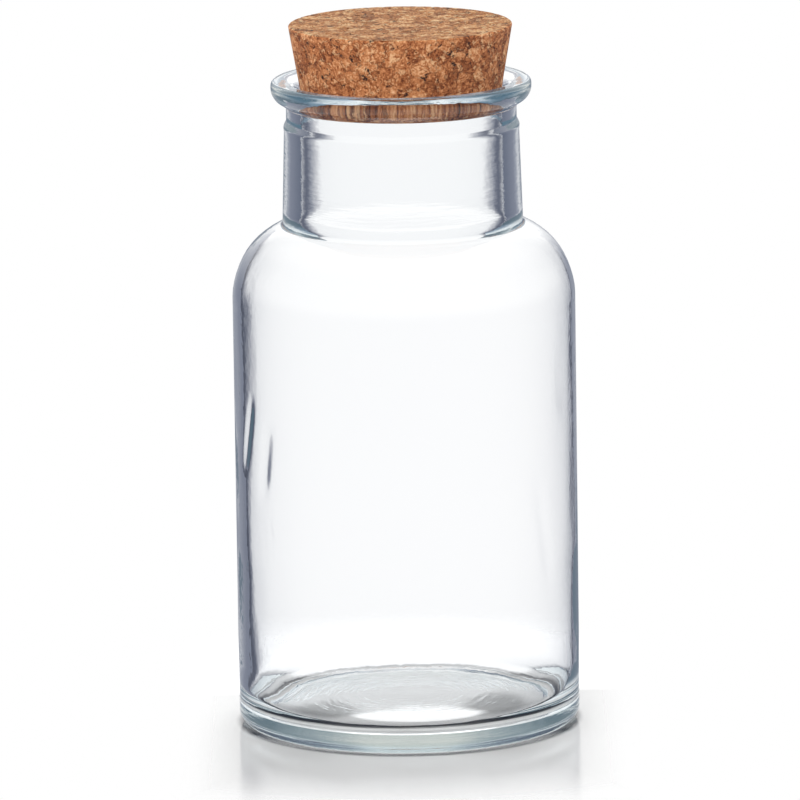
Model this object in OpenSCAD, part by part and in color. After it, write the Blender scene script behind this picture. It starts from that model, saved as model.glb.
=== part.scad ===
// Glass jar with a tapered cork stopper, in millimetres.
// The jar is one piece of blown glass, and the cork wedges against the lip of its mouth.
// Z is the axis of both, and the jar stands on z = 0.

/* [Jar body] */
// Outer diameter of the straight panel
body_d = 65; // [60:0.5:80]
// Height of the jar without its cork, from the table to the top of the rim
jar_h = 123.8; // [112:0.1:170]
// Glass thickness of the panel and the shoulder
wall = 1.3; // [1:0.1:3.2]

/* [Base] */
// Outer radius of the heel, where the panel turns under
heel_r = 2.8; // [1.5:0.1:5]
// Inner radius between the panel and the floor
inner_heel_r = 5; // [3:0.5:9]
// Radial width of the flat ring that the jar stands on
foot_w = 2; // [1.2:0.1:6]
// Rise of the push-up under the base, at the axis
pushup_h = 2.3; // [1:0.1:5]
// Glass thickness of the floor at its edge, above the table
floor_edge_t = 3.2; // [2.5:0.1:7]
// Glass thickness of the floor at the axis
floor_centre_t = 2.7; // [2:0.1:6]

/* [Shoulder] */
// Drop from the top of the rim to the crease between neck and shoulder
neck_h = 27.5; // [22:0.1:40]
// Radius of the shoulder where it leaves the panel
shoulder_lower_r = 14.4; // [6:0.2:20]
// Radius of the shoulder nearer to the neck
shoulder_upper_r = 12.5; // [5:0.5:15]
// Slope of the short cone between the two radii, in degrees from level
shoulder_slope = 50; // [40:1:62]
// Slope of the shoulder where it meets the neck, in degrees from level
crease_slope = 20; // [8:1:30]
// Radius of the crease between shoulder and neck
crease_r = 0.9; // [0.4:0.1:2]
// Inner radius where the neck opens into the shoulder
inner_crease_r = 4; // [2:0.1:5]

/* [Neck] */
// Outer diameter of the neck at the crease
neck_base_d = 45.6; // [43:0.1:52]
// Outer diameter of the neck under its mould ring
neck_top_d = 44.5; // [43:0.1:52]
// Outer diameter of the neck between the mould ring and the bead
collar_d = 43.6; // [42:0.1:45]
// Inner diameter of the neck where it opens into the shoulder
neck_bore_d = 38.7; // [36:0.1:41]
// Drop from the top of the rim to the middle of the mould ring
ring_drop = 8.7; // [7.5:0.1:14]
// Height of the mould ring
ring_h = 2.2; // [1:0.1:3]
// How far the mould ring stands out from the neck below it
ring_proud = 0.1; // [0:0.05:0.6]

/* [Mouth] */
// Outer diameter of the bead round the mouth
bead_d = 49.3; // [47:0.1:56]
// Radius of the top edge of the bead
bead_upper_r = 0.9; // [0.5:0.1:1.6]
// Height of the straight face of the bead, between its two radii
bead_face_h = 0.6; // [0:0.1:1.5]
// Radius of the underside of the bead
bead_lower_r = 2.7; // [1.5:0.1:3.6]
// Slope of the underside of the bead, in degrees from level
bead_slope = 32.5; // [15:0.5:45]
// Diameter of the mouth
mouth_d = 38; // [36:0.1:39]
// Radius of the lip on which the cork wedges
lip_r = 3.5; // [0.8:0.1:4.2]
// Depth of the straight bore of the mouth, below which it widens evenly to the foot of the neck
mouth_depth = 8; // [6:0.1:12]

/* [Cork] */
// Height of the cork above the rim
cork_out = 10.6; // [6:0.1:16]
// Depth of the cork below the rim
cork_in = 5; // [4:0.1:8]
// Angle of the side of the cork from its axis, in degrees
cork_taper = 9.8; // [3:0.2:12]
// Radius of the edges of the cork
cork_edge_r = 0.7; // [0.3:0.1:1.5]
// Clearance between the lip and the cork that wedges on it
seat_gap = 0.05; // [0.02:0.01:0.2]

/* [Hidden] */

// Degrees of turn between the points of a rounded corner, and segments round the axis
arc_step = 7.5;
$fn = 120;
// Points from the axis to the foot along the push-up and along the floor
dome_steps = 8;

body_r = body_d / 2;
bore_r = mouth_d / 2;
collar_r = collar_d / 2;
neck_top_r = neck_top_d / 2;
neck_base_r = neck_base_d / 2;
bead_r = bead_d / 2;
ring_r = neck_top_r + ring_proud;
inner_body_r = body_r - wall;
neck_bore_r = neck_bore_d / 2;
foot_inner_r = body_r - heel_r - foot_w;

crease_z = jar_h - neck_h;
ring_z = jar_h - ring_drop;
// Where the underside and the face of the bead would meet, without the radius between them
bead_corner_z = jar_h - bead_upper_r - bead_face_h - bead_lower_r * tan((90 - bead_slope) / 2);
bead_root_z = bead_corner_z - (bead_r - collar_r) * tan(bead_slope);
mouth_end_z = jar_h - mouth_depth;
// Small radii of the moulded details: the mould ring, the root of the bead and the foot
detail_r = 0.4;

// Vectors of an outline
function unit(v) = v / norm(v);
function turn(a, b, c) = 180 - acos(max(-1, min(1, unit(a - b) * unit(c - b))));
function place(row) = [row[0], row[1]];

// An outline is a list of rows, each a corner's radius, height and rounding radius. The rounding
// of a corner starts at its setback, and neighbours that want more than the side between them
// has share it out.
function setback(rows, i) =
    i <= 0 || i >= len(rows) - 1 || rows[i][2] == 0 ? 0
    : rows[i][2] * tan(turn(place(rows[i - 1]), place(rows[i]), place(rows[i + 1])) / 2);
function share(rows, i) =
    let (wanted = setback(rows, i) + setback(rows, i + 1),
         side = norm(place(rows[i + 1]) - place(rows[i])))
    wanted > side ? side / wanted : 1;
function corner(rows, i) =
    setback(rows, i) == 0 ? [place(rows[i])]
    : let (here = place(rows[i]),
           back = unit(place(rows[i - 1]) - here),
           ahead = unit(place(rows[i + 1]) - here),
           angle = turn(place(rows[i - 1]), here, place(rows[i + 1])),
           start = setback(rows, i) * min(share(rows, i - 1), share(rows, i)),
           r = start / tan(angle / 2),
           centre = here + unit(back + ahead) * r / cos(angle / 2),
           steps = max(2, ceil(angle / arc_step)))
      [for (k = [0:steps])
          let (a = angle * (k / steps - 0.5))
          centre - r * cos(a) * unit(back + ahead) + r * sin(a) * unit(ahead - back)];
function rounded(rows) = [for (i = [0:len(rows) - 1]) each corner(rows, i)];

// Place of a corner moved inwards by t, square to both of its sides, at angles a and b from level
function inset(p, a, b, t) =
    p - t / cos((b - a) / 2) * [sin((a + b) / 2), cos((a + b) / 2)];

// Corners of the shoulder: the crease at the neck, the middle cone's top and its foot
crease = [neck_base_r, crease_z];
upper_run = shoulder_upper_r * tan((shoulder_slope - crease_slope) / 2)
    + crease_r * tan((90 - crease_slope) / 2);
shoulder_top = crease + upper_run * [cos(crease_slope), -sin(crease_slope)];
shoulder_foot = [body_r, shoulder_top[1] - (body_r - shoulder_top[0]) * tan(shoulder_slope)];
inner_top = inset(shoulder_top, crease_slope, shoulder_slope, wall);
inner_foot = inset(shoulder_foot, shoulder_slope, 90, wall);
inner_crease = [neck_bore_r, inner_top[1] + (inner_top[0] - neck_bore_r) * tan(crease_slope)];

// A shallow dome from the axis out to radius r, from height z0 at its edge up by rise
function dome(r, z0, rise) =
    [for (i = [0:dome_steps - 1]) let (x = r * i / dome_steps) [x, z0 + rise * (1 - pow(x / r, 2)), 0]];
function reversed(rows) = [for (i = [len(rows) - 1:-1:0]) rows[i]];

floor_r = inner_body_r - inner_heel_r;
floor_rise = pushup_h + floor_centre_t - floor_edge_t;

outside = [
    [foot_inner_r, 0, detail_r],
    [body_r, 0, heel_r],
    [body_r, shoulder_foot[1], shoulder_lower_r],
    [shoulder_top[0], shoulder_top[1], shoulder_upper_r],
    [crease[0], crease[1], crease_r],
    [neck_top_r, ring_z - ring_h / 2, detail_r],
    [ring_r, ring_z, ring_h / 2],
    [collar_r, ring_z + ring_h / 2, detail_r],
    [collar_r, bead_root_z, detail_r],
    [bead_r, bead_corner_z, bead_lower_r],
    [bead_r, jar_h, bead_upper_r]
];
inside = [
    [bore_r, jar_h, lip_r],
    [bore_r, mouth_end_z, lip_r],
    [inner_crease[0], inner_crease[1], inner_crease_r],
    [inner_top[0], inner_top[1], shoulder_upper_r - wall],
    [inner_foot[0], inner_foot[1], shoulder_lower_r - wall],
    [inner_body_r, floor_edge_t, inner_heel_r],
    [floor_r, floor_edge_t, 0]
];

// The blown jar: push-up base, heel, straight panel, shoulder, neck, mould ring and rolled bead
module glass_jar() {
    color("lightcyan", 0.45)
        rotate_extrude()
            polygon(rounded(concat(
                dome(foot_inner_r, 0, pushup_h),
                outside,
                inside,
                reversed(dome(floor_r, floor_edge_t, floor_rise)))));
}

// The cork's side is the cone that clears the lip's arc by seat_gap
lip_centre = [bore_r + lip_r, jar_h - lip_r];
function cork_side_r(z) =
    lip_centre[0] - (lip_r + seat_gap) / cos(cork_taper) + (z - lip_centre[1]) * tan(cork_taper);

module cork_stopper() {
    bottom_z = jar_h - cork_in;
    top_z = jar_h + cork_out;
    color("peru")
        rotate_extrude()
            polygon(rounded([
                [0, bottom_z, 0],
                [cork_side_r(bottom_z), bottom_z, cork_edge_r],
                [cork_side_r(top_z), top_z, cork_edge_r],
                [0, top_z, 0]]));
}

glass_jar();
cork_stopper();
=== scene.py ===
# %% [markdown]
# # A blown glass jar with a cork
#
# The real thing is two pieces: a jar of clear soda-lime glass, blown into an iron mould, and a
# tapered stopper cut from a block of pressed cork granules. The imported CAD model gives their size
# and place, and this lesson gives them their finish: a glass wall that is never quite even, and a
# cork whose granules, pits and sanded faces can be seen.

import math

import bmesh
import bpy
from mathutils import Matrix, Vector, noise


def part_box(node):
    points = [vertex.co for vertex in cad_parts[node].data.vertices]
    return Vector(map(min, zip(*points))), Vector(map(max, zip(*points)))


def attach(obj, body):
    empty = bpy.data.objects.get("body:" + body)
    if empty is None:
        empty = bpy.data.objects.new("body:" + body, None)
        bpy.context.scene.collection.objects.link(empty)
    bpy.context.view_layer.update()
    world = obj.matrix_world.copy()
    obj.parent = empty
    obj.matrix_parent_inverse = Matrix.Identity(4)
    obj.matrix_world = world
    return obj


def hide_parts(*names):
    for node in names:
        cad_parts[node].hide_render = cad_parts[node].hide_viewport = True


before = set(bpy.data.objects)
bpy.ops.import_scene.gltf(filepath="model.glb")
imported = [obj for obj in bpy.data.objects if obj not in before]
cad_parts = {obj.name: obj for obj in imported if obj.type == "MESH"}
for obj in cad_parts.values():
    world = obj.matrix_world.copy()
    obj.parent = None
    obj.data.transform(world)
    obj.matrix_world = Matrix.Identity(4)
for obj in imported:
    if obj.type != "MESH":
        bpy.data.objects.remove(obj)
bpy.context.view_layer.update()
jar_low, jar_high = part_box("glass_jar")
cork_low, cork_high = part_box("cork_stopper")
MM = 0.001
print("jar", [round(v / MM, 2) for v in jar_high], "cork top", round(cork_high.z / MM, 2))

# %% [markdown]
# ## Small helpers
#
# Colours are given as sRGB hex values, but shaders work in linear light, so one function
# turns one into the other. Another adds a node with its settings and links in one go, which keeps
# each material readable as a short list of steps.

# %% Colour and node helpers
SRGB_CUT = 0.04045


def linear(hex_colour):
    """An sRGB hex colour such as "#a08050" as linear red, green, blue and alpha."""
    shares = [int(hex_colour[i:i + 2], 16) / 255 for i in (1, 3, 5)]
    return [c / 12.92 if c <= SRGB_CUT else ((c + 0.055) / 1.055) ** 2.4 for c in shares] + [1]


def add_node(tree, kind, settings=None, **sockets):
    """A node of that kind, with its settings, and its sockets set to values or linked to outputs."""
    node = tree.nodes.new(kind)
    for name, value in (settings or {}).items():
        setattr(node, name, value)
    for name, value in sockets.items():
        key = int(name[1:]) if name[0] == "i" and name[1:].isdigit() else name.replace("_", " ")
        if isinstance(value, bpy.types.NodeSocket):
            tree.links.new(value, node.inputs[key])
        else:
            node.inputs[key].default_value = value
    return node


def new_material(name):
    """An empty material and its node tree."""
    material = bpy.data.materials.new(name)
    material.use_nodes = True
    material.node_tree.nodes.clear()
    return material, material.node_tree


print("linear mid grey", [round(c, 3) for c in linear("#808080")])

# %% [markdown]
# ## Camera
#
# A long lens far from the jar gives the flat, catalogue-like view: the rim and the base are ellipses
# of nearly the same roundness. The place was worked out from those ellipses: their height over
# width gives how far the camera looks down at each level. The horizon is very slightly tilted.

# %% Camera
CAMERA_DISTANCE = 1.850
CAMERA_HEIGHT = 0.4256
CAMERA_ASIDE = -0.00102
CAMERA_PITCH = 11.12
CAMERA_ROLL = 0.82
LENS = 446.3
SENSOR = 36

camera = bpy.data.objects.new("camera", bpy.data.cameras.new("camera"))
camera.data.lens = LENS
camera.data.sensor_width = SENSOR
camera.location = (CAMERA_ASIDE, -CAMERA_DISTANCE, CAMERA_HEIGHT)
tilt = Matrix.Rotation(math.radians(90 - CAMERA_PITCH), 4, "X")
roll = Matrix.Rotation(math.radians(-CAMERA_ROLL), 4, "Z")
camera.rotation_euler = (tilt @ roll).to_euler()
bpy.context.collection.objects.link(camera)
bpy.context.scene.camera = camera
bpy.context.scene.view_settings.view_transform = "Standard"
print("camera looks down", CAMERA_PITCH, "degrees from", CAMERA_DISTANCE, "m")

# %% [markdown]
# ## Light
#
# Clear glass has no colour of its own: what is seen in it is the room. Photographers put white
# behind it and dark cards at both sides, and the thick edges bend those cards into view, which
# draws the outline. Here the world does that job. The camera sees plain white. Rays that have gone
# through or off glass see white with soft dark cards at steady steps round the object, so the edges
# are drawn from every side. Rays that light matt surfaces see an even grey-white.

# %% World
SEEN_THROUGH = [(10.5, "#ffffff"), (13, "#d6d6da"), (17, "#a0a3ad"), (22.5, "#6f7484")]
SEEN_INSIDE = [(0.14, "#ffffff"), (0.25, "#b0b4be"), (0.40, "#858a99"), (0.75, "#646b7c"), (0.97, "#525d6c")]
SEEN_TRAPPED = [(0.07, "#e2e0da"), (0.16, "#a9b1b5"), (0.35, "#72838c"), (0.70, "#5a6c78"),
                (0.97, "#435866")]
SEEN_BENEATH = "#5b7788"
SEEN_OVERHEAD = [(0.32, "#f4f6f8"), (0.42, "#bcc6d0"), (0.50, "#94a1b0"), (0.60, "#7f8fa1"),
                 (0.82, "#50697a")]
SEEN_BELOW = [(0.48, "#ffffff"), (0.56, "#d6dde4"), (0.64, "#a9b8c6"), (0.72, "#7f95a6"),
              (0.82, "#50697a")]
SEEN_ON_TOP = "#858a97"
WHITE = "#ffffff"
OVEREXPOSED = 1.12
AMBIENT = 0.85

world = bpy.data.worlds.new("studio")
bpy.context.scene.world = world
world.use_nodes = True
sky = world.node_tree
sky.nodes.clear()
direction = add_node(sky, "ShaderNodeTexCoord").outputs["Generated"]
axes = add_node(sky, "ShaderNodeSeparateXYZ", Vector=direction)
azimuth = add_node(sky, "ShaderNodeMath", {"operation": "ARCTAN2"},
                   i0=axes.outputs["Y"], i1=axes.outputs["X"])


def shaded(value, shades):
    """Colours along a value, for a list of value and colour."""
    ramp = add_node(sky, "ShaderNodeValToRGB", Fac=value)
    stops = ramp.color_ramp.elements
    shades = sorted(shades)
    for element, (position, colour) in zip(stops, (shades[0], shades[-1])):
        element.position = position
        element.color = linear(colour)
    for position, colour in shades[1:-1]:
        stops.new(position).color = linear(colour)
    return ramp.outputs[0]


def cards(shades, step):
    """White windows every step degrees, for a list of azimuth from a window's middle and colour."""
    turns = add_node(sky, "ShaderNodeMath", {"operation": "MULTIPLY"}, i0=azimuth.outputs[0],
                     i1=360 / step)
    wave = add_node(sky, "ShaderNodeMath", {"operation": "COSINE"}, i0=turns.outputs[0])
    share = add_node(sky, "ShaderNodeMath", {"operation": "MULTIPLY_ADD"}, i0=wave.outputs[0], i1=0.5,
                     i2=0.5)
    return shaded(share.outputs[0], [((1 + math.cos(math.radians(azimuth_deg * 360 / step))) / 2, colour)
                                     for azimuth_deg, colour in shades])


def at_least(count, depth):
    """1 where a light path has at least that many bounces of one kind."""
    return add_node(sky, "ShaderNodeMath", {"operation": "GREATER_THAN"},
                    i0=path.outputs[depth], i1=count - 0.5).outputs[0]


def above(height, low_deg, high_deg):
    """0 below one elevation and 1 above another, for the height of a direction of length 1."""
    return add_node(sky, "ShaderNodeMapRange", {"interpolation_type": "SMOOTHSTEP"}, Value=height,
                    From_Min=math.sin(math.radians(low_deg)),
                    From_Max=math.sin(math.radians(high_deg))).outputs[0]


def choose(share, first, second):
    """The first colour where share is 0 and the second where it is 1."""
    return add_node(sky, "ShaderNodeMix", {"data_type": "RGBA"}, i0=share, i6=first,
                    i7=second).outputs[2]


path = add_node(sky, "ShaderNodeLightPath")
height = axes.outputs["Z"]
steepness = add_node(sky, "ShaderNodeMath", {"operation": "ABSOLUTE"}, i0=height).outputs[0]
sideways = add_node(sky, "ShaderNodeMath", {"operation": "ABSOLUTE"}, i0=axes.outputs["X"]).outputs[0]
refracted = choose(at_least(1, "Glossy Depth"), cards(SEEN_THROUGH, 45), shaded(sideways, SEEN_INSIDE))
refracted = choose(at_least(3, "Glossy Depth"), refracted, shaded(sideways, SEEN_TRAPPED))
overhead = shaded(sideways, SEEN_OVERHEAD)
refracted = choose(above(steepness, 28, 42), refracted, overhead)
lengthways = add_node(sky, "ShaderNodeMath", {"operation": "ABSOLUTE"}, i0=axes.outputs["Y"]).outputs[0]
down = add_node(sky, "ShaderNodeMath", {"operation": "MULTIPLY"}, i0=height, i1=-1.0).outputs[0]
beneath = choose(above(lengthways, 15, 30), shaded(sideways, SEEN_BELOW), linear(SEEN_BENEATH))
refracted = choose(above(down, 28, 42), refracted, beneath)
level = choose(above(height, -5, 12), linear(SEEN_ON_TOP), linear(WHITE))
mirrored = choose(above(height, -35, -22), linear(WHITE), level)
in_glass = choose(at_least(1, "Transmission Depth"), mirrored, refracted)
bright = add_node(sky, "ShaderNodeVectorMath", {"operation": "SCALE"}, i0=in_glass, Scale=OVEREXPOSED)
lit = choose(at_least(1, "Diffuse Depth"), bright.outputs[0], [AMBIENT, AMBIENT, AMBIENT, 1])
seen = choose(path.outputs["Is Camera Ray"], lit, linear(WHITE))
background = add_node(sky, "ShaderNodeBackground", Color=seen)
add_node(sky, "ShaderNodeOutputWorld", Surface=background.outputs[0])
print("surroundings", len(sky.nodes), "nodes")

# %% Soft lamps
LAMP_DISTANCE = 1.2


def soft_lamp(name, azimuth_deg, elevation_deg, size, watts):
    """A square soft lamp aimed at the middle of the jar. Glass and mirrors see the cards instead."""
    lamp = bpy.data.lights.new(name, "AREA")
    lamp.size = size
    lamp.energy = watts
    lit = bpy.data.objects.new(name, lamp)
    turn, lift = math.radians(azimuth_deg), math.radians(elevation_deg)
    aim = Vector((math.sin(turn) * math.cos(lift), -math.cos(turn) * math.cos(lift), math.sin(lift)))
    lit.location = aim * LAMP_DISTANCE + Vector((0, 0, jar_high.z / 2))
    lit.rotation_euler = (-aim).to_track_quat("-Z", "Y").to_euler()
    lit.visible_camera = False
    lit.visible_glossy = False
    lit.visible_transmission = False
    bpy.context.collection.objects.link(lit)
    return lit


soft_lamp("key_lamp", 170, 60, 0.7, 10)
soft_lamp("fill_lamp", -35, 45, 0.9, 6)

# %% [markdown]
# ## Floor
#
# The jar stands on a white sheet. It keeps a soft shadow and a faint mirror image of the heel. A
# little light of its own brings the open sheet to white, and it fades out where nothing of the
# jar is near, so that no edge or horizon shows. Near the jar the sheet also carries painted light:
# a glowing pool beneath the jar that stands in for light let through the glass, a brighter painted
# spot where the glass would gather that light, two darker spots of painted shade in the pool, and a
# dark ring of painted shadow where the heel meets the sheet.

# %% Floor
FLOOR_R = 0.085
FLOOR_FADE = 0.050
SIDE_FADE = (0.030, 0.045)
BEHIND = (0.021, 0.025)
BEHIND_GLOW = 0.45
FOOT_R = 0.0298
# A pool of painted light on the sheet beneath the jar, standing in for light let through the glass.
UNDER_JAR_PAINTED_GLOW = 0.32
# Two darker spots of painted shade, left and right, in the painted pool beneath the jar.
PAINTED_SHADE_PLACE = (0.0165, -0.005, 0)
PAINTED_SHADE_SIZE = (0.0062, 0.012)
# A brighter spot of painted light on the sheet, where the glass would gather the light of the lamp behind.
PAINTED_FOCUS_PLACE = (0.0014, -0.0120, 0)
PAINTED_FOCUS_SIZE = (0.0125, 0.0100)
PAINTED_FOCUS_GLOW = 0.8
# Ring and tone of a painted shadow where the jar's heel meets the sheet.
HEEL_SHADOW_RING = ((0.0295, 0.0305), (0.0335, 0.0315))
HEEL_SHADOW_TONE = "#2c2f38"

floor_mesh = bmesh.new()
bmesh.ops.create_circle(floor_mesh, cap_ends=True, segments=96, radius=FLOOR_R)
floor_data = bpy.data.meshes.new("floor")
floor_mesh.to_mesh(floor_data)
floor_mesh.free()
floor = bpy.data.objects.new("floor", floor_data)
bpy.context.collection.objects.link(floor)

white_sheet, tree = new_material("white_acrylic_sheet")
place = add_node(tree, "ShaderNodeTexCoord").outputs["Object"]
reach = add_node(tree, "ShaderNodeVectorMath", {"operation": "LENGTH"}, i0=place)
open_floor = add_node(tree, "ShaderNodeMapRange", {"interpolation_type": "SMOOTHSTEP"},
                      Value=reach.outputs["Value"], From_Min=FLOOR_FADE, From_Max=FLOOR_R)
floor_at = add_node(tree, "ShaderNodeSeparateXYZ", Vector=place)
aside = add_node(tree, "ShaderNodeMath", {"operation": "ABSOLUTE"}, i0=floor_at.outputs["X"])


def floor_step(value, start, end, top):
    """0 at start and top at end, with a soft step between."""
    return add_node(tree, "ShaderNodeMapRange", {"interpolation_type": "SMOOTHSTEP"}, Value=value,
                    From_Min=start, From_Max=end, To_Max=top).outputs[0]


def spot(where, centre, size, softness, top):
    """A soft oval spot on the floor, 0 outside it and top inside."""
    shift = add_node(tree, "ShaderNodeVectorMath", {"operation": "SUBTRACT"}, i0=where, i1=centre)
    share = add_node(tree, "ShaderNodeVectorMath", {"operation": "DIVIDE"}, i0=shift.outputs[0],
                     i1=(*size, 1))
    away = add_node(tree, "ShaderNodeVectorMath", {"operation": "LENGTH"}, i0=share.outputs[0])
    return floor_step(away.outputs["Value"], 1 + softness, 1 - softness, top)


def brighter(first, second):
    """The larger of two values."""
    return add_node(tree, "ShaderNodeMath", {"operation": "MAXIMUM"}, i0=first, i1=second).outputs[0]


behind = floor_step(floor_at.outputs["Y"], *BEHIND, BEHIND_GLOW)
# Painted light: a glowing pool beneath the jar's foot, for the light the glass lets through.
painted_pool_under_jar = spot(place, (0, 0, 0), (FOOT_R, FOOT_R), 0.05, UNDER_JAR_PAINTED_GLOW)
folded = add_node(tree, "ShaderNodeCombineXYZ", X=aside.outputs[0], Y=floor_at.outputs["Y"])
# Painted shade: two darker spots, mirrored left and right, taken out of the painted pool.
painted_shade_spots = spot(folded.outputs[0], PAINTED_SHADE_PLACE, PAINTED_SHADE_SIZE, 0.4, UNDER_JAR_PAINTED_GLOW)
painted_pool_under_jar = add_node(tree, "ShaderNodeMath", {"operation": "SUBTRACT", "use_clamp": True}, i0=painted_pool_under_jar, i1=painted_shade_spots)
painted_pool_under_jar = painted_pool_under_jar.outputs[0]
# Painted light: a brighter spot standing in for the light the jar gathers onto the sheet.
painted_focus_spot = spot(place, PAINTED_FOCUS_PLACE, PAINTED_FOCUS_SIZE, 0.15, PAINTED_FOCUS_GLOW)
glow = brighter(brighter(behind, painted_pool_under_jar), painted_focus_spot)
clear_share = brighter(open_floor.outputs[0], floor_step(aside.outputs[0], *SIDE_FADE, 1))
# Painted shadow: a dark ring round the heel, mixed into the sheet's colour.
painted_heel_shadow = add_node(tree, "ShaderNodeMath", {"operation": "MULTIPLY"},
                   i0=floor_step(reach.outputs["Value"], *HEEL_SHADOW_RING[0], 1),
                   i1=floor_step(reach.outputs["Value"], *HEEL_SHADOW_RING[1], 1))
sheet_and_painted_shadow = add_node(tree, "ShaderNodeMix", {"data_type": "RGBA"}, i0=painted_heel_shadow.outputs[0],
                      i6=linear("#cecece"), i7=linear(HEEL_SHADOW_TONE))
sheet = add_node(tree, "ShaderNodeBsdfPrincipled", Base_Color=sheet_and_painted_shadow.outputs[2], Roughness=0.15,
                 Emission_Color=linear("#ffffff"), Emission_Strength=glow)
clear = add_node(tree, "ShaderNodeBsdfTransparent")
mixed = add_node(tree, "ShaderNodeMixShader", i0=clear_share,
                 i1=sheet.outputs[0], i2=clear.outputs[0])
add_node(tree, "ShaderNodeOutputMaterial", Surface=mixed.outputs[0])
floor_data.materials.append(white_sheet)
print("floor radius", FLOOR_R)

# %% [markdown]
# ## The outline of the glass
#
# A jar like this starts as a gob of glass that is blown against a turning mould, so it is a lathe
# form. The quickest honest way is a few corner points on one side of the axis, a bevel that rounds
# each corner by its own radius, and a spin. The rows below are the same corners as in the CAD
# model: radius, height and rounding, in millimetres.

# %% Lathe helper
TURN_STEPS = 288
ARC_STEP = 6


def rounded_wire(corners):
    """A bmesh of one open wire through corners (radius, height, rounding), each rounded by a bevel."""
    wire = bmesh.new()
    places = [Vector((r, 0, z)) * MM for r, z, rounding in corners]
    points = [wire.verts.new(place) for place in places]
    for a, b in zip(points, points[1:]):
        wire.edges.new((a, b))
    for i in range(1, len(corners) - 1):
        turned = math.pi - (places[i - 1] - places[i]).angle(places[i + 1] - places[i])
        setback = corners[i][2] * MM * math.tan(turned / 2)
        if setback:
            bmesh.ops.bevel(wire, geom=[points[i]], offset=setback, offset_type="OFFSET",
                            segments=max(3, round(math.degrees(turned) / ARC_STEP)),
                            profile=0.5, affect="VERTICES", material=-1)
    return wire


def straight_steps(wire, step):
    """Cuts the wire's long edges into pieces of about step, so that the wall can be made uneven."""
    for edge in list(wire.edges):
        cuts = int(edge.calc_length() / (step * MM))
        if cuts:
            bmesh.ops.subdivide_edges(wire, edges=[edge], cuts=cuts)


def lathe(wire):
    """Spins a wire round the Z axis into a closed skin."""
    bmesh.ops.spin(wire, geom=wire.verts[:] + wire.edges[:], cent=(0, 0, 0), axis=(0, 0, 1),
                   angle=2 * math.pi, steps=TURN_STEPS, use_merge=True)
    bmesh.ops.remove_doubles(wire, verts=wire.verts[:], dist=0.005 * MM)
    return wire


def object_from(name, made, body, material):
    """Makes a smooth object of a bmesh, riding on a body of the frame."""
    data = bpy.data.meshes.new(name)
    made.to_mesh(data)
    made.free()
    data.shade_smooth()
    data.materials.append(material)
    piece = bpy.data.objects.new(name, data)
    bpy.context.collection.objects.link(piece)
    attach(piece, body)
    triangles = sum(len(p.vertices) - 2 for p in data.polygons)
    print(name, triangles, "triangles")
    return piece


# %% Clear glass
# Soda-lime glass: no colour in a thin wall, a blue-green cast where the eye looks along it
GLASS_IOR = 1.52
GLASS_TINT = "#bfd1d5"
GLASS_DENSITY = 20
CAUGHT_AFTER = 3
FOOT_RING = 0.8
FOOT_DEPTH = 0.05
BEAD_STREAK = 0.6
BEAD_DEPTH = 0.02
BLOWN_WAVE = 1.6
BLOWN_DEPTH = 0.006
# Slate tone of a painted reflection on steep glass faces.
PAINTED_REFLECTION_TONE = "#8b909d"
MOUTH_LIGHT = (106, 112)

clear_glass, tree = new_material("clear_soda_lime_glass")
place = add_node(tree, "ShaderNodeTexCoord").outputs["Object"]
at = add_node(tree, "ShaderNodeSeparateXYZ", Vector=place)
flat = add_node(tree, "ShaderNodeVectorMath", {"operation": "MULTIPLY"}, i0=place, i1=(1, 1, 0))
from_axis = add_node(tree, "ShaderNodeVectorMath", {"operation": "LENGTH"}, i0=flat.outputs[0])
turn = add_node(tree, "ShaderNodeMath", {"operation": "ARCTAN2"}, i0=at.outputs["Y"],
                i1=at.outputs["X"])


def scaled(value, factor):
    """A value times a factor."""
    return add_node(tree, "ShaderNodeMath", {"operation": "MULTIPLY"}, i0=value, i1=factor).outputs[0]


def zone(value, start, end):
    """0 at start and 1 at end, in millimetres, with a soft step between."""
    return add_node(tree, "ShaderNodeMapRange", {"interpolation_type": "SMOOTHSTEP"}, Value=value,
                    From_Min=start * MM, From_Max=end * MM).outputs[0]


def waves(across, along, detail):
    """Noise in the plane of two stretched coordinates."""
    spot = add_node(tree, "ShaderNodeCombineXYZ", X=across, Y=along)
    return add_node(tree, "ShaderNodeTexNoise", Vector=spot.outputs[0], Scale=1.0, Detail=detail,
                    Roughness=0.6).outputs["Fac"]


radius = from_axis.outputs["Value"]
foot_rings = waves(scaled(radius, 1 / (FOOT_RING * MM)), scaled(turn.outputs[0], 1.6), 2.0)
foot_rings = scaled(foot_rings, scaled(zone(radius, 3, 12), zone(at.outputs["Z"], 9, 5)))
bead_streaks = waves(scaled(at.outputs["Z"], 1 / (BEAD_STREAK * MM)), scaled(turn.outputs[0], 4), 2.0)
bead_streaks = scaled(bead_streaks, zone(at.outputs["Z"], 95, 99))
blown = add_node(tree, "ShaderNodeTexNoise", Vector=place, Scale=1 / (BLOWN_WAVE * MM), Detail=1.0,
                 Roughness=0.5)
height = add_node(tree, "ShaderNodeMath", {"operation": "MULTIPLY_ADD"}, i0=foot_rings,
                  i1=FOOT_DEPTH * MM, i2=scaled(bead_streaks, BEAD_DEPTH * MM))
height = add_node(tree, "ShaderNodeMath", {"operation": "MULTIPLY_ADD"}, i0=blown.outputs["Fac"],
                  i1=BLOWN_DEPTH * MM, i2=height.outputs[0])
uneven = add_node(tree, "ShaderNodeBump", Strength=1.0, Distance=1.0, Height=height.outputs[0])
shell = add_node(tree, "ShaderNodeBsdfPrincipled", Base_Color=linear("#ffffff"), Roughness=0.0,
                 IOR=GLASS_IOR, Transmission_Weight=1.0, Normal=uneven.outputs[0])
inside = add_node(tree, "ShaderNodeVolumeAbsorption", Color=linear(GLASS_TINT),
                  Density=GLASS_DENSITY)
path = add_node(tree, "ShaderNodeLightPath")
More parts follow.
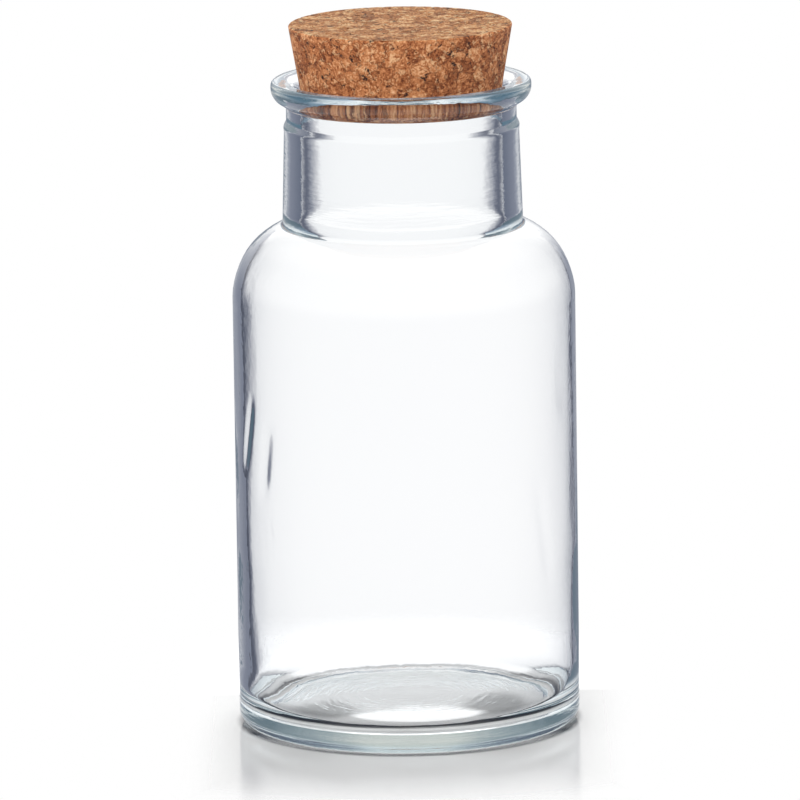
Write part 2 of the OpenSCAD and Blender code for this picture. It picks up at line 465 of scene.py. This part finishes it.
caught = add_node(tree, "ShaderNodeMath", {"operation": "GREATER_THAN"},
                  i0=path.outputs["Glossy Depth"], i1=CAUGHT_AFTER - 0.5)
let_go = add_node(tree, "ShaderNodeBsdfTransparent")
# Painted reflection: past the camera's first hit, the refracted colour takes in, by Fresnel, a painted
# reflection, slate on steep faces and white on level ones.
fresnel = add_node(tree, "ShaderNodeFresnel", IOR=GLASS_IOR, Normal=uneven.outputs[0])
facing = add_node(tree, "ShaderNodeSeparateXYZ", Vector=add_node(tree, "ShaderNodeTexCoord").outputs["Normal"])
level_share = add_node(tree, "ShaderNodeMath", {"operation": "ABSOLUTE"}, i0=facing.outputs["Z"])
level_share = add_node(tree, "ShaderNodeMapRange", {"interpolation_type": "SMOOTHSTEP"},
                       Value=level_share.outputs[0], From_Min=0.5, From_Max=0.85)
painted_reflection_tone = add_node(tree, "ShaderNodeMix", {"data_type": "RGBA"}, i0=level_share.outputs[0],
                         i6=linear(PAINTED_REFLECTION_TONE), i7=linear("#ffffff"))
through_and_painted_reflection = add_node(tree, "ShaderNodeMix", {"data_type": "RGBA"}, i0=fresnel.outputs[0],
                i6=linear("#ffffff"), i7=painted_reflection_tone.outputs[2])
bends = add_node(tree, "ShaderNodeBsdfRefraction", Color=through_and_painted_reflection.outputs[2], Roughness=0.0,
                 IOR=GLASS_IOR, Normal=uneven.outputs[0])
mirrors = add_node(tree, "ShaderNodeBsdfAnisotropic", Color=linear("#ffffff"), Roughness=0.0,
                   Normal=uneven.outputs[0])
total = add_node(tree, "ShaderNodeMath", {"operation": "GREATER_THAN"},
                 i0=fresnel.outputs[0], i1=0.995)
within = add_node(tree, "ShaderNodeMixShader", i0=total.outputs[0], i1=bends.outputs[0],
                  i2=mirrors.outputs[0])
deeper = add_node(tree, "ShaderNodeMixShader", i0=caught.outputs[0], i1=within.outputs[0],
                  i2=let_go.outputs[0])
surface = add_node(tree, "ShaderNodeMixShader", i0=path.outputs["Is Camera Ray"],
                   i1=deeper.outputs[0], i2=shell.outputs[0])
in_mouth = scaled(path.outputs["Is Shadow Ray"], zone(at.outputs["Z"], *MOUTH_LIGHT))
let_in = add_node(tree, "ShaderNodeBsdfTransparent", Color=linear("#f2f4f4"))
surface = add_node(tree, "ShaderNodeMixShader", i0=in_mouth, i1=surface.outputs[0],
                   i2=let_in.outputs[0])
add_node(tree, "ShaderNodeOutputMaterial", Surface=surface.outputs[0], Volume=inside.outputs[0])
print("glass absorption", GLASS_DENSITY, "per metre")

# %% Corners of the outside and the inside
BODY_R = jar_high.x / MM
RIM_Z = jar_high.z / MM
outside = [
    (27.7, 0, 0),
    (BODY_R, 0, 2.8),
    (BODY_R, 87.84, 14.4),
    (26.54, 94.94, 12.5),
    (22.8, 96.3, 0.9),
    (22.25, 114.0, 0.4),
    (22.35, 115.1, 1.1),
    (21.8, 116.2, 0.4),
    (21.8, 119.0, 0.4),
    (24.65, 120.82, 2.7),
    (24.65, RIM_Z, 0.9),
    (19.0, RIM_Z, 3.5),
    (19.0, 115.8, 0),
]
inside_corners = [
    (19.0, 115.8, 0),
    (19.35, 96.17, 4.0),
    (25.77, 93.84, 11.2),
    (31.3, 87.25, 13.0),
    (31.35, 70.0, 90),
    (31.6, 34.0, 90),
    (30.95, 12.0, 30),
    (30.6, 3.2, 5.0),
    (25.4, 3.2, 0),
]
PUSHUP = (27.7, 0.0, 2.3)
FLOOR_DOME = (25.4, 3.2, 1.75)
DOME_STEPS = 30


def dome_wire(radius, edge_z, rise):
    """A wire from the axis out to radius, for the push-up and for the floor inside."""
    wire = bmesh.new()
    last = None
    for i in range(DOME_STEPS + 1):
        x = radius * i / DOME_STEPS
        point = wire.verts.new((x * MM, 0, (edge_z + rise * (1 - (x / radius) ** 2)) * MM))
        if last:
            wire.edges.new((last, point))
        last = point
    return wire


# %% [markdown]
# ## An uneven wall
#
# Glass that is blown runs a little before it sets. The outside takes the mould's shape, but the
# inside is free, so the wall is thicker on one side, and slow waves run up it. Those waves are
# what bends the edges into streaks. The same noise, with the grain of a slow wave, moves the inside
# points in or out along their radius.

# %% Skin of the jar
THICK_SIDE_SHIFT = 0.4
WAVE_DEPTH = 0.05
WAVE_WIDTH = 11
WAVE_RUN = 34
WAVE_TOP = 88
FLOOR_RIPPLE = 0.0
RUNS = [
    (-146, 54, 7, 1.7, 0.24, 0.25),
    (-158, 58, 6, 1.0, 0.16, 0.5),
    (-37, 40, 9, 1.6, 0.16, -0.3),
    (25, 62, 8, 1.8, 0.22, 0.2),
    (64, 36, 8, 1.5, 0.20, -0.4),
    (112, 58, 9, 1.7, 0.20, 0.3),
    (150, 33, 7, 1.6, 0.22, 0.2),
]


def smooth(low, high, x):
    """0 below low, 1 above high, and a soft step between."""
    t = min(1, max(0, (x - low) / (high - low)))
    return t * t * (3 - 2 * t)


def wall_shift(x, y, z):
    """How far the inside wall moves outward at a place, all in millimetres."""
    turn = math.atan2(y, x)
    side = THICK_SIDE_SHIFT * math.cos(turn)
    spot = Vector((math.cos(turn) * 30 / WAVE_WIDTH, math.sin(turn) * 30 / WAVE_WIDTH, z / WAVE_RUN))
    waves = WAVE_DEPTH * noise.noise(spot) + 0.4 * WAVE_DEPTH * noise.noise(spot * 2.3)
    runs = 0
    for run_turn, run_z, half_length, half_width, run_depth, lean in RUNS:
        aside = math.degrees(turn) - run_turn - lean * (z - run_z)
        aside = math.radians((aside + 180) % 360 - 180) * 31.3
        runs += run_depth * math.exp(-(aside / half_width) ** 2 - ((z - run_z) / half_length) ** 4)
    return (side + 1.6 * waves - runs) * (1 - smooth(WAVE_TOP, 98, z)) * smooth(4, 12, z)


outer = rounded_wire(outside)
straight_steps(outer, 2.5)
skin = lathe(outer)
inner = rounded_wire(inside_corners)
straight_steps(inner, 1.5)
inner = lathe(inner)
for vert in inner.verts:
    flat = Vector((vert.co.x, vert.co.y, 0))
    push = wall_shift(vert.co.x / MM, vert.co.y / MM, vert.co.z / MM) * MM
    if flat.length > 0:
        vert.co += flat.normalized() * push
pushup = lathe(dome_wire(*PUSHUP))
bowl = lathe(dome_wire(*FLOOR_DOME))
for vert in bowl.verts:
    reach_in = vert.co.to_2d().length / MM
    ripple = math.sin(reach_in * 1.9 + 2 * noise.noise(vert.co * 60)) * FLOOR_RIPPLE
    vert.co.z += ripple * smooth(25.4, 19, reach_in) * smooth(2, 8, reach_in) * MM
for part in (inner, pushup, bowl):
    shell_mesh = bpy.data.meshes.new("part")
    part.to_mesh(shell_mesh)
    part.free()
    skin.from_mesh(shell_mesh)
    bpy.data.meshes.remove(shell_mesh)
bmesh.ops.remove_doubles(skin, verts=skin.verts[:], dist=0.02 * MM)
bmesh.ops.recalc_face_normals(skin, faces=skin.faces[:])
print("open edges", sum(1 for e in skin.edges if not e.is_manifold))
glass = object_from("jar_glass", skin, "jar", clear_glass)
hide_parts("glass_jar")

# %% [markdown]
# ## The cork
#
# The stopper is turned from a block of cork granules pressed together with a little binder, then
# sanded. The granules are two to five millimetres across, in slightly different tans, each with
# its own grain, and dark pits stay where a granule was torn out.

# %% Agglomerated cork
CORK_GRANULE = 2.6
CORK_LAYER = 0.30
CORK_MOTTLE = 0.45
CORK_WOBBLE = 1.2
CORK_TONES = [(0.415, "#5a2c15"), (0.455, "#8b4923"), (0.50, "#b46e41"), (0.545, "#d08a58"),
              (0.60, "#edba8c")]
CORK_CHIP = 0.75

cork_material, tree = new_material("agglomerated_cork")
place = add_node(tree, "ShaderNodeTexCoord").outputs["Object"]
wobble = add_node(tree, "ShaderNodeTexNoise", Vector=place, Scale=1 / (CORK_WOBBLE * MM), Detail=4.0,
                  Roughness=0.65)
wobbled = add_node(tree, "ShaderNodeMix", {"data_type": "VECTOR"}, i0=0.0022, i4=place,
                   i5=wobble.outputs["Color"])
granules = add_node(tree, "ShaderNodeTexVoronoi", {"feature": "F1"}, Vector=wobbled.outputs[1],
                    Scale=1 / (CORK_GRANULE * MM), Randomness=1.0)
joints = add_node(tree, "ShaderNodeTexVoronoi", {"feature": "DISTANCE_TO_EDGE"},
                  Vector=wobbled.outputs[1], Scale=1 / (CORK_GRANULE * MM), Randomness=1.0)
any_turn = add_node(tree, "ShaderNodeVectorMath", {"operation": "SCALE"}, i0=granules.outputs["Color"],
                    Scale=2 * math.pi)
turned = add_node(tree, "ShaderNodeVectorRotate", {"rotation_type": "EULER_XYZ"},
                  Vector=wobbled.outputs[1], Rotation=any_turn.outputs[0])
layered = add_node(tree, "ShaderNodeVectorMath", {"operation": "MULTIPLY"}, i0=turned.outputs[0],
                   i1=(1 / (CORK_LAYER * MM), 0.9 / MM, 0.9 / MM))
layers = add_node(tree, "ShaderNodeTexNoise", Vector=layered.outputs[0], Scale=1.0, Detail=3.0,
                  Roughness=0.6)
mottle = add_node(tree, "ShaderNodeTexNoise", Vector=place, Scale=1 / (CORK_MOTTLE * MM), Detail=5.0,
                  Roughness=0.75)
tone = add_node(tree, "ShaderNodeSeparateColor", Color=granules.outputs["Color"])
granule_tone = add_node(tree, "ShaderNodeMapRange", Value=tone.outputs[0], To_Min=0.36, To_Max=0.64)
grain = add_node(tree, "ShaderNodeMix", {"data_type": "FLOAT"}, i0=0.45, i2=layers.outputs["Fac"],
                 i3=mottle.outputs["Fac"])
blend = add_node(tree, "ShaderNodeMix", {"data_type": "FLOAT"}, i0=0.30, i2=grain.outputs[0],
                 i3=granule_tone.outputs[0])
tans = add_node(tree, "ShaderNodeValToRGB", Fac=blend.outputs[0])
stops = tans.color_ramp.elements
for element, (position, colour) in zip(stops, (CORK_TONES[0], CORK_TONES[-1])):
    element.position = position
    element.color = linear(colour)
for position, colour in CORK_TONES[1:-1]:
    stops.new(position).color = linear(colour)


def soft_step(value, start, end):
    """0 at start and 1 at end, with a soft step between."""
    return add_node(tree, "ShaderNodeMapRange", {"interpolation_type": "SMOOTHSTEP"}, Value=value,
                    From_Min=start, From_Max=end).outputs[0]


def both(first, second):
    """The product of two values."""
    return add_node(tree, "ShaderNodeMath", {"operation": "MULTIPLY"}, i0=first, i1=second).outputs[0]


joint_share = both(soft_step(joints.outputs["Distance"], 0.06, 0.0),
                   soft_step(mottle.outputs["Fac"], 0.50, 0.56))
jointed = add_node(tree, "ShaderNodeMix", {"data_type": "RGBA"}, i0=both(joint_share, 0.6),
                   i6=tans.outputs[0], i7=linear("#5a3019"))
chips = add_node(tree, "ShaderNodeTexVoronoi", {"feature": "F1"}, Vector=wobbled.outputs[1],
                 Scale=1 / (CORK_CHIP * MM), Randomness=1.0)
chip_pick = add_node(tree, "ShaderNodeSeparateColor", Color=chips.outputs["Color"])
pale_share = both(soft_step(chip_pick.outputs[1], 0.84, 0.87),
                  soft_step(layers.outputs["Fac"], 0.44, 0.54))
chipped = add_node(tree, "ShaderNodeMix", {"data_type": "RGBA"}, i0=both(pale_share, 0.7),
                   i6=jointed.outputs[2], i7=linear("#e8b98a"))
pit_place = add_node(tree, "ShaderNodeVectorMath", {"operation": "MULTIPLY"}, i0=turned.outputs[0],
                     i1=(1.1 / MM, 0.5 / MM, 0.5 / MM))
pits = add_node(tree, "ShaderNodeTexNoise", Vector=pit_place.outputs[0], Scale=1.0, Detail=3.0,
                Roughness=0.7)
pit_share = soft_step(pits.outputs["Fac"], 0.615, 0.645)
pitted = add_node(tree, "ShaderNodeMix", {"data_type": "RGBA"}, i0=pit_share, i6=chipped.outputs[2],
                  i7=linear("#35201a"))
up = add_node(tree, "ShaderNodeSeparateXYZ", Vector=add_node(tree, "ShaderNodeTexCoord").outputs["Normal"])
sanded = add_node(tree, "ShaderNodeMix", {"data_type": "RGBA", "blend_type": "MULTIPLY"},
                  i0=soft_step(up.outputs["Z"], 0.6, 0.95), i6=pitted.outputs[2],
                  i7=[0.67, 0.84, 0.92, 1])
relief = add_node(tree, "ShaderNodeMath", {"operation": "SUBTRACT"}, i0=grain.outputs[0], i1=pit_share)
relief = add_node(tree, "ShaderNodeMath", {"operation": "SUBTRACT"}, i0=relief.outputs[0],
                  i1=joint_share)
bump = add_node(tree, "ShaderNodeBump", Strength=0.7, Distance=0.25 * MM,
                Height=relief.outputs[0])
cork_skin = add_node(tree, "ShaderNodeBsdfPrincipled", Base_Color=sanded.outputs[2], Roughness=0.86,
                     Normal=bump.outputs[0])
add_node(tree, "ShaderNodeOutputMaterial", Surface=cork_skin.outputs[0])

# %% Cork stopper
CORK_TOP_R = cork_high.x / MM
CORK_TOP_Z = cork_high.z / MM
CORK_LOW_Z = cork_low.z / MM
CORK_TAPER = 9.8
CORK_EDGE = 0.4
CORK_LOW_R = CORK_TOP_R - (CORK_TOP_Z - CORK_LOW_Z) * math.tan(math.radians(CORK_TAPER))
CORK_PIT = 0.9
PIT_DEPTH = 0.35
GRANULE_RELIEF = 0.0

cork_wire = rounded_wire([
    (0, CORK_LOW_Z, 0),
    (CORK_LOW_R, CORK_LOW_Z, CORK_EDGE),
    (CORK_TOP_R, CORK_TOP_Z, CORK_EDGE),
    (0, CORK_TOP_Z, 0),
])
straight_steps(cork_wire, 0.45)
cork_mesh = lathe(cork_wire)
bmesh.ops.recalc_face_normals(cork_mesh, faces=cork_mesh.faces[:])
cork_mesh.normal_update()
for vert in cork_mesh.verts:
    spot = vert.co / MM
    pit = smooth(0.36, 0.62, noise.noise(spot / CORK_PIT + Vector((7, 3, 1))))
    relief = noise.noise(spot / CORK_GRANULE)
    inward = PIT_DEPTH * pit + GRANULE_RELIEF * (0.5 - 0.5 * relief)
    vert.co -= vert.normal * inward * MM
cork = object_from("cork", cork_mesh, "stopper", cork_material)
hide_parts("cork_stopper")

# %% [markdown]
# ## Finish
#
# The dressed model has to stay in the CAD model's box.

# %% Finish
bpy.context.view_layer.update()
